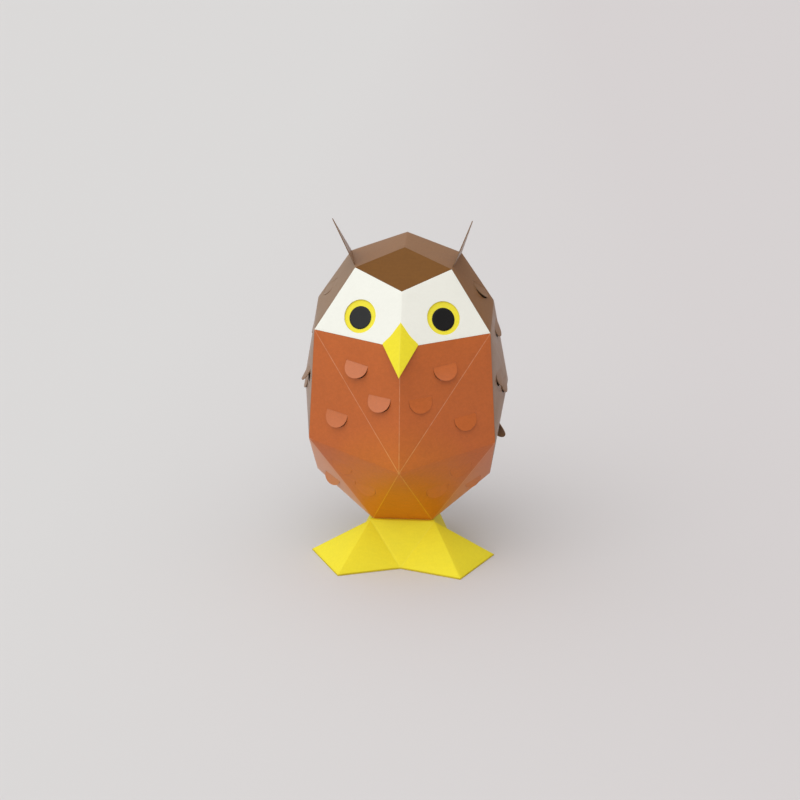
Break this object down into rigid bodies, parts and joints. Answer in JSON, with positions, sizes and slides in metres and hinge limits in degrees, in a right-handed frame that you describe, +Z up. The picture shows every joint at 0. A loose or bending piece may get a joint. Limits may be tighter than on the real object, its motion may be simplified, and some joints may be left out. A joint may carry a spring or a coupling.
{
  "type": "folded paper owl",
  "caption": "Low-poly owl folded from coloured card, with creases, glued panels, lifting half-round feather flaps, ear tufts and a folded base of two feet.",
  "frame": {"origin": "on the ground, at the foot of the body's middle plane, under the glued seat of the body", "axes": "+Z up, -Y is where the beak points, +X is the right-hand side seen from the front"},
  "size_m": [0.1272, 0.1295, 0.2181],
  "materials": {
    "terracotta_card": "matte",
    "brown_card": "matte",
    "umber_card": "matte",
    "cream_card": "matte",
    "yellow_card": "matte",
    "black_paper": "matte"
  },
  "bodies": {
    "root": {"breast_panel": "terracotta_card", "face_panel": "cream_card", "forehead_panel": "umber_card", "crown_panel": "brown_card", "side_panel_right": "brown_card", "side_panel_left": "brown_card", "back_panel": "brown_card", "beak": "yellow_card", "iris_right": "yellow_card", "iris_left": "yellow_card", "pupil_right": "black_paper", "pupil_left": "black_paper", "feet_base": "yellow_card", "sole_card": "yellow_card"},
    "ear_tuft_right": {"ear_tuft_right": "brown_card"},
    "ear_tuft_left": {"ear_tuft_left": "brown_card"},
    "feather_breast_upper_right": {"feather_breast_upper_right": "terracotta_card"},
    "feather_breast_upper_left": {"feather_breast_upper_left": "terracotta_card"},
    "feather_breast_inner_right": {"feather_breast_inner_right": "terracotta_card"},
    "feather_breast_inner_left": {"feather_breast_inner_left": "terracotta_card"},
    "feather_breast_outer_right": {"feather_breast_outer_right": "terracotta_card"},
    "feather_breast_outer_left": {"feather_breast_outer_left": "terracotta_card"},
    "feather_belly_outer_right": {"feather_belly_outer_right": "terracotta_card"},
    "feather_belly_outer_left": {"feather_belly_outer_left": "terracotta_card"},
    "feather_belly_inner_right": {"feather_belly_inner_right": "terracotta_card"},
    "feather_belly_inner_left": {"feather_belly_inner_left": "terracotta_card"},
    "feather_hip_front_right": {"feather_hip_front_right": "terracotta_card"},
    "feather_hip_front_left": {"feather_hip_front_left": "terracotta_card"},
    "feather_head_side_right": {"feather_head_side_right": "brown_card"},
    "feather_head_side_left": {"feather_head_side_left": "brown_card"},
    "feather_cheek_side_right": {"feather_cheek_side_right": "brown_card"},
    "feather_cheek_side_left": {"feather_cheek_side_left": "brown_card"},
    "feather_wing_front_right": {"feather_wing_front_right": "brown_card"},
    "feather_wing_front_left": {"feather_wing_front_left": "brown_card"},
    "feather_wing_middle_right": {"feather_wing_middle_right": "brown_card"},
    "feather_wing_middle_left": {"feather_wing_middle_left": "brown_card"},
    "feather_wing_tip_right": {"feather_wing_tip_right": "brown_card"},
    "feather_wing_tip_left": {"feather_wing_tip_left": "brown_card"},
    "feather_wing_upper_right": {"feather_wing_upper_right": "brown_card"},
    "feather_wing_upper_left": {"feather_wing_upper_left": "brown_card"},
    "feather_wing_rear_right": {"feather_wing_rear_right": "brown_card"},
    "feather_wing_rear_left": {"feather_wing_rear_left": "brown_card"},
    "feather_wing_lower_right": {"feather_wing_lower_right": "brown_card"},
    "feather_wing_lower_left": {"feather_wing_lower_left": "brown_card"},
    "feather_back_upper_right": {"feather_back_upper_right": "brown_card"},
    "feather_back_upper_left": {"feather_back_upper_left": "brown_card"},
    "feather_back_middle_right": {"feather_back_middle_right": "brown_card"},
    "feather_back_middle_left": {"feather_back_middle_left": "brown_card"},
    "feather_back_lower_right": {"feather_back_lower_right": "brown_card"},
    "feather_back_lower_left": {"feather_back_lower_left": "brown_card"},
    "feather_rump_right": {"feather_rump_right": "brown_card"},
    "feather_rump_left": {"feather_rump_left": "brown_card"}
  },
  "joints": [
    {"name": "ear_tuft_right_crease", "type": "hinge", "parent": "root", "child": "ear_tuft_right", "pos_m": [0.0285, -0.026, 0.18636], "axis": [0.1688, 0.9788, 0.1158], "range_deg": [-20, 25], "stiffness_Nm_per_rad": 0.0004},
    {"name": "ear_tuft_left_crease", "type": "hinge", "parent": "root", "child": "ear_tuft_left", "pos_m": [-0.0285, -0.026, 0.18636], "axis": [0.1688, -0.9788, -0.1158], "range_deg": [-20, 25], "stiffness_Nm_per_rad": 0.0004},
    {"name": "feather_breast_upper_right_crease", "type": "hinge", "parent": "root", "child": "feather_breast_upper_right", "pos_m": [0.02559, -0.04555, 0.13341], "axis": [-0.9179, -0.3571, -0.1734], "range_deg": [-20, 40], "stiffness_Nm_per_rad": 0.0001},
    {"name": "feather_breast_upper_left_crease", "type": "hinge", "parent": "root", "child": "feather_breast_upper_left", "pos_m": [-0.02559, -0.04555, 0.13341], "axis": [-0.9179, 0.3571, 0.1734], "range_deg": [-24, 36], "stiffness_Nm_per_rad": 0.0001},
    {"name": "feather_breast_inner_right_crease", "type": "hinge", "parent": "root", "child": "feather_breast_inner_right", "pos_m": [0.01192, -0.05181, 0.11484], "axis": [-0.9318, -0.3562, -0.0696], "range_deg": [-9, 51], "stiffness_Nm_per_rad": 0.0001},
    {"name": "feather_breast_inner_left_crease", "type": "hinge", "parent": "root", "child": "feather_breast_inner_left", "pos_m": [-0.01192, -0.05181, 0.11484], "axis": [-0.9318, 0.3562, 0.0696], "range_deg": [-20, 40], "stiffness_Nm_per_rad": 0.0001},
    {"name": "feather_breast_outer_right_crease", "type": "hinge", "parent": "root", "child": "feather_breast_outer_right", "pos_m": [0.03805, -0.04133, 0.10123], "axis": [-0.8997, -0.4137, -0.1392], "range_deg": [-12, 48], "stiffness_Nm_per_rad": 0.0001},
    {"name": "feather_breast_outer_left_crease", "type": "hinge", "parent": "root", "child": "feather_breast_outer_left", "pos_m": [-0.03805, -0.04133, 0.10123], "axis": [-0.8997, 0.4137, 0.1392], "range_deg": [-17, 43], "stiffness_Nm_per_rad": 0.0001},
    {"name": "feather_belly_outer_right_crease", "type": "hinge", "parent": "root", "child": "feather_belly_outer_right", "pos_m": [0.0362, -0.03648, 0.06722], "axis": [-0.8934, -0.4097, -0.1841], "range_deg": [-4, 56], "stiffness_Nm_per_rad": 0.0001},
    {"name": "feather_belly_outer_left_crease", "type": "hinge", "parent": "root", "child": "feather_belly_outer_left", "pos_m": [-0.0362, -0.03648, 0.06722], "axis": [-0.8934, 0.4097, 0.1841], "range_deg": [-5, 55], "stiffness_Nm_per_rad": 0.0001},
    {"name": "feather_belly_inner_right_crease", "type": "hinge", "parent": "root", "child": "feather_belly_inner_right", "pos_m": [0.02213, -0.03599, 0.05288], "axis": [-0.8912, -0.4268, -0.1538], "range_deg": [-5, 55], "stiffness_Nm_per_rad": 0.0001},
    {"name": "feather_belly_inner_left_crease", "type": "hinge", "parent": "root", "child": "feather_belly_inner_left", "pos_m": [-0.02213, -0.03599, 0.05288], "axis": [-0.8912, 0.4268, 0.1538], "range_deg": [-5, 55], "stiffness_Nm_per_rad": 0.0001},
    {"name": "feather_hip_front_right_crease", "type": "hinge", "parent": "root", "child": "feather_hip_front_right", "pos_m": [0.04319, -0.02166, 0.05252], "axis": [-0.8123, -0.3345, -0.4778], "range_deg": [-5, 55], "stiffness_Nm_per_rad": 0.0001},
    {"name": "feather_hip_front_left_crease", "type": "hinge", "parent": "root", "child": "feather_hip_front_left", "pos_m": [-0.04319, -0.02166, 0.05252], "axis": [-0.8123, 0.3345, 0.4778], "range_deg": [-16, 44], "stiffness_Nm_per_rad": 0.0001},
    {"name": "feather_head_side_right_crease", "type": "hinge", "parent": "root", "child": "feather_head_side_right", "pos_m": [0.04444, -0.00444, 0.17183], "axis": [-0.5453, -0.6508, 0.5283], "range_deg": [-8, 52], "stiffness_Nm_per_rad": 0.0001},
    {"name": "feather_head_side_left_crease", "type": "hinge", "parent": "root", "child": "feather_head_side_left", "pos_m": [-0.04444, -0.00444, 0.17183], "axis": [-0.5453, 0.6508, -0.5283], "range_deg": [-2, 58], "stiffness_Nm_per_rad": 0.0001},
    {"name": "feather_cheek_side_right_crease", "type": "hinge", "parent": "root", "child": "feather_cheek_side_right", "pos_m": [0.05462, -0.00834, 0.14991], "axis": [-0.0602, -0.9834, -0.1712], "range_deg": [-12, 48], "stiffness_Nm_per_rad": 0.0001},
    {"name": "feather_cheek_side_left_crease", "type": "hinge", "parent": "root", "child": "feather_cheek_side_left", "pos_m": [-0.05462, -0.00834, 0.14991], "axis": [-0.0602, 0.9834, 0.1712], "range_deg": [-3, 57], "stiffness_Nm_per_rad": 0.0001},
    {"name": "feather_wing_front_right_crease", "type": "hinge", "parent": "root", "child": "feather_wing_front_right", "pos_m": [0.05732, -0.01677, 0.12188], "axis": [-0.1973, -0.9748, 0.1044], "range_deg": [-12, 48], "stiffness_Nm_per_rad": 0.0001},
    {"name": "feather_wing_front_left_crease", "type": "hinge", "parent": "root", "child": "feather_wing_front_left", "pos_m": [-0.05732, -0.01677, 0.12188], "axis": [-0.1973, 0.9748, -0.1044], "range_deg": [-24, 36], "stiffness_Nm_per_rad": 0.0001},
    {"name": "feather_wing_middle_right_crease", "type": "hinge", "parent": "root", "child": "feather_wing_middle_right", "pos_m": [0.06049, -0.00313, 0.11339], "axis": [-0.196, -0.9781, 0.0696], "range_deg": [-10, 50], "stiffness_Nm_per_rad": 0.0001},
    {"name": "feather_wing_middle_left_crease", "type": "hinge", "parent": "root", "child": "feather_wing_middle_left", "pos_m": [-0.06049, -0.00313, 0.11339], "axis": [-0.196, 0.9781, -0.0696], "range_deg": [-8, 52], "stiffness_Nm_per_rad": 0.0001},
    {"name": "feather_wing_tip_right_crease", "type": "hinge", "parent": "root", "child": "feather_wing_tip_right", "pos_m": [0.05577, 0.00699, 0.07883], "axis": [0.3761, -0.7561, 0.5355], "range_deg": [-42, 18], "stiffness_Nm_per_rad": 0.0001},
    {"name": "feather_wing_tip_left_crease", "type": "hinge", "parent": "root", "child": "feather_wing_tip_left", "pos_m": [-0.05577, 0.00699, 0.07883], "axis": [0.3761, 0.7561, -0.5355], "range_deg": [-4, 56], "stiffness_Nm_per_rad": 0.0001},
    {"name": "feather_wing_upper_right_crease", "type": "hinge", "parent": "root", "child": "feather_wing_upper_right", "pos_m": [0.05512, 0.01677, 0.13036], "axis": [0.3694, -0.9268, 0.0678], "range_deg": [-8, 52], "stiffness_Nm_per_rad": 0.0001},
    {"name": "feather_wing_upper_left_crease", "type": "hinge", "parent": "root", "child": "feather_wing_upper_left", "pos_m": [-0.05512, 0.01677, 0.13036], "axis": [0.3694, 0.9268, -0.0678], "range_deg": [-8, 52], "stiffness_Nm_per_rad": 0.0001},
    {"name": "feather_wing_rear_right_crease", "type": "hinge", "parent": "root", "child": "feather_wing_rear_right", "pos_m": [0.04528, 0.03456, 0.14008], "axis": [0.3763, -0.9265, 0], "range_deg": [-20, 40], "stiffness_Nm_per_rad": 0.0001},
    {"name": "feather_wing_rear_left_crease", "type": "hinge", "parent": "root", "child": "feather_wing_rear_left", "pos_m": [-0.04528, 0.03456, 0.14008], "axis": [0.3763, 0.9265, 0], "range_deg": [-20, 40], "stiffness_Nm_per_rad": 0.0001},
    {"name": "feather_wing_lower_right_crease", "type": "hinge", "parent": "root", "child": "feather_wing_lower_right", "pos_m": [0.05239, 0.03006, 0.09406], "axis": [0.3909, -0.9204, 0], "range_deg": [-24, 36], "stiffness_Nm_per_rad": 0.0001},
    {"name": "feather_wing_lower_left_crease", "type": "hinge", "parent": "root", "child": "feather_wing_lower_left", "pos_m": [-0.05239, 0.03006, 0.09406], "axis": [0.3909, 0.9204, 0], "range_deg": [-24, 36], "stiffness_Nm_per_rad": 0.0001},
    {"name": "feather_back_upper_right_crease", "type": "hinge", "parent": "root", "child": "feather_back_upper_right", "pos_m": [0.01347, 0.0499, 0.15328], "axis": [0.9488, -0.316, 0], "range_deg": [-20, 40], "stiffness_Nm_per_rad": 0.0001},
    {"name": "feather_back_upper_left_crease", "type": "hinge", "parent": "root", "child": "feather_back_upper_left", "pos_m": [-0.01347, 0.0499, 0.15328], "axis": [0.9488, 0.316, 0], "range_deg": [-20, 40], "stiffness_Nm_per_rad": 0.0001},
    {"name": "feather_back_middle_right_crease", "type": "hinge", "parent": "root", "child": "feather_back_middle_right", "pos_m": [0.02802, 0.05212, 0.12275], "axis": [0.937, -0.3495, 0], "range_deg": [-22, 38], "stiffness_Nm_per_rad": 0.0001},
    {"name": "feather_back_middle_left_crease", "type": "hinge", "parent": "root", "child": "feather_back_middle_left", "pos_m": [-0.02802, 0.05212, 0.12275], "axis": [0.937, 0.3495, 0], "range_deg": [-22, 38], "stiffness_Nm_per_rad": 0.0001},
    {"name": "feather_back_lower_right_crease", "type": "hinge", "parent": "root", "child": "feather_back_lower_right", "pos_m": [0.02694, 0.05247, 0.09362], "axis": [0.9471, -0.3208, 0], "range_deg": [-22, 38], "stiffness_Nm_per_rad": 0.0001},
    {"name": "feather_back_lower_left_crease", "type": "hinge", "parent": "root", "child": "feather_back_lower_left", "pos_m": [-0.02694, 0.05247, 0.09362], "axis": [0.9471, 0.3208, 0], "range_deg": [-22, 38], "stiffness_Nm_per_rad": 0.0001},
    {"name": "feather_rump_right_crease", "type": "hinge", "parent": "root", "child": "feather_rump_right", "pos_m": [0.0163, 0.05191, 0.07172], "axis": [0.9502, -0.3116, 0], "range_deg": [-18, 42], "stiffness_Nm_per_rad": 0.0001},
    {"name": "feather_rump_left_crease", "type": "hinge", "parent": "root", "child": "feather_rump_left", "pos_m": [-0.0163, 0.05191, 0.07172], "axis": [0.9502, 0.3116, 0], "range_deg": [-18, 42], "stiffness_Nm_per_rad": 0.0001}
  ]
}
